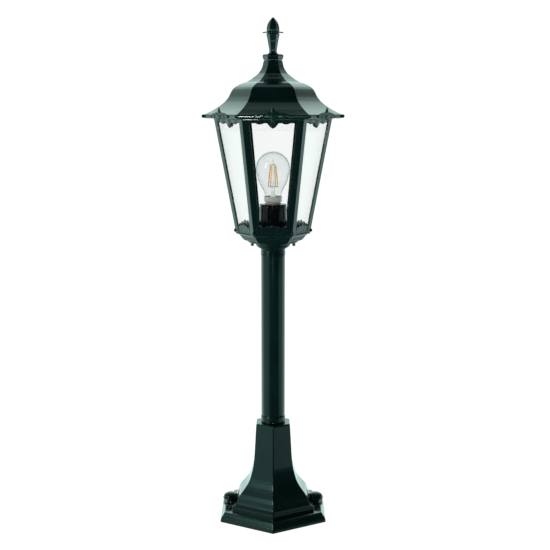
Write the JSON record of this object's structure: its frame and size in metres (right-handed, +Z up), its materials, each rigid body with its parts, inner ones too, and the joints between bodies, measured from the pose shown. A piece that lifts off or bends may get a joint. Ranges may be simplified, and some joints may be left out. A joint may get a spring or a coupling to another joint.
{
  "type": "garden post lantern",
  "caption": "Low hexagonal garden lantern: cast pedestal, round post, glazed cage with ogee roof, finial and a screw-in bulb.",
  "frame": {"origin": "on the ground under the middle of the pedestal", "axes": "+Z up along the post; -Y is the front, where the pedestal has a corner and the lantern head a flat pane; +X to the right seen from the front"},
  "size_m": [0.2466, 0.2162, 0.8786],
  "materials": {
    "green_paint": "gloss dark fir green paint on cast metal",
    "zinc_steel": "zinc plated steel",
    "black_plastic": "matt black",
    "holder_black": "gloss black moulding",
    "contact_brass": "plain brass",
    "bulb_nickel": "bright nickel plate",
    "pane_glass": "clear flat glass",
    "bulb_glass": "clear blown glass",
    "filament_amber": "amber coated filament sticks"
  },
  "bodies": {
    "post": {"base_casting": "green_paint", "anchor_washer_left": "zinc_steel", "anchor_washer_right": "zinc_steel", "anchor_nut_left": "green_paint", "anchor_nut_right": "green_paint", "anchor_stud_left": "zinc_steel", "anchor_stud_right": "zinc_steel", "tube_collar": "green_paint", "post_tube": "green_paint", "tie_rod": "zinc_steel", "rod_washer": "zinc_steel", "rod_nut_lower": "zinc_steel", "rod_nut_upper": "zinc_steel", "cable_bush": "black_plastic", "lamp_lead": "black_plastic", "bowl_casting": "green_paint", "lampholder_bracket": "zinc_steel", "lampholder_shell": "holder_black", "lampholder_sleeve": "contact_brass", "lampholder_contact": "contact_brass"},
    "lantern_head": {"cage_floor": "green_paint", "cage_crown": "green_paint", "thumb_stud_left": "zinc_steel", "thumb_stud_right": "zinc_steel", "roof_casting": "green_paint", "finial_collar": "green_paint", "finial": "green_paint", "finial_nut": "zinc_steel", "finial_stud": "zinc_steel", "corner_bar_1": "green_paint", "corner_bar_2": "green_paint", "corner_bar_3": "green_paint", "corner_bar_4": "green_paint", "corner_bar_5": "green_paint", "corner_bar_6": "green_paint", "glass_pane_1": "pane_glass", "glass_pane_2": "pane_glass", "glass_pane_3": "pane_glass", "glass_pane_4": "pane_glass", "glass_pane_5": "pane_glass", "glass_pane_6": "pane_glass", "eave_crest_1": "green_paint", "eave_crest_2": "green_paint", "eave_crest_3": "green_paint", "eave_crest_4": "green_paint", "eave_crest_5": "green_paint", "eave_crest_6": "green_paint", "roof_screw_1": "zinc_steel", "roof_screw_2": "zinc_steel", "roof_screw_3": "zinc_steel"},
    "bulb_rise": {"bulb_contact": "bulb_nickel"},
    "bulb": {"bulb_cap": "bulb_nickel", "bulb_globe": "bulb_glass", "bulb_stem": "bulb_glass", "bulb_filaments": "filament_amber"},
    "thumb_washer_l": {"thumb_washer_left": "zinc_steel"},
    "thumb_nut_l": {"thumb_nut_left": "green_paint"},
    "thumb_washer_r": {"thumb_washer_right": "zinc_steel"},
    "thumb_nut_r": {"thumb_nut_right": "green_paint"}
  },
  "joints": [
    {"name": "head_lift", "type": "slide", "parent": "post", "child": "lantern_head", "axis": [0, 0, 1], "range_m": [0, 0.2]},
    {"name": "bulb_rise", "type": "slide", "parent": "post", "child": "bulb_rise", "axis": [0, 0, 1], "range_m": [0, 0.01816]},
    {"name": "bulb_turn", "type": "hinge", "parent": "bulb_rise", "child": "bulb", "pos_m": [0, 0, 0.6], "axis": [0, 0, 1], "range_deg": [0, 1800]},
    {"name": "thumb_drop_left", "type": "slide", "parent": "post", "child": "thumb_washer_l", "axis": [0, 0, -1], "range_m": [0, 0.006]},
    {"name": "thumb_turn_left", "type": "hinge", "parent": "thumb_washer_l", "child": "thumb_nut_l", "pos_m": [-0.0365, 0, 0.49], "axis": [0, 0, -1], "range_deg": [0, 2162]},
    {"name": "thumb_drop_right", "type": "slide", "parent": "post", "child": "thumb_washer_r", "axis": [0, 0, -1], "range_m": [0, 0.006]},
    {"name": "thumb_turn_right", "type": "hinge", "parent": "thumb_washer_r", "child": "thumb_nut_r", "pos_m": [0.0365, 0, 0.49], "axis": [0, 0, -1], "range_deg": [0, 2162]}
  ],
  "couplings": [
    {"joint": "bulb_rise", "follows": "bulb_turn", "m_per_rad": 0.00057773},
    {"joint": "thumb_turn_left", "follows": "thumb_drop_left", "rad_per_m": 6283.2},
    {"joint": "thumb_turn_right", "follows": "thumb_drop_right", "rad_per_m": 6283.2}
  ]
}
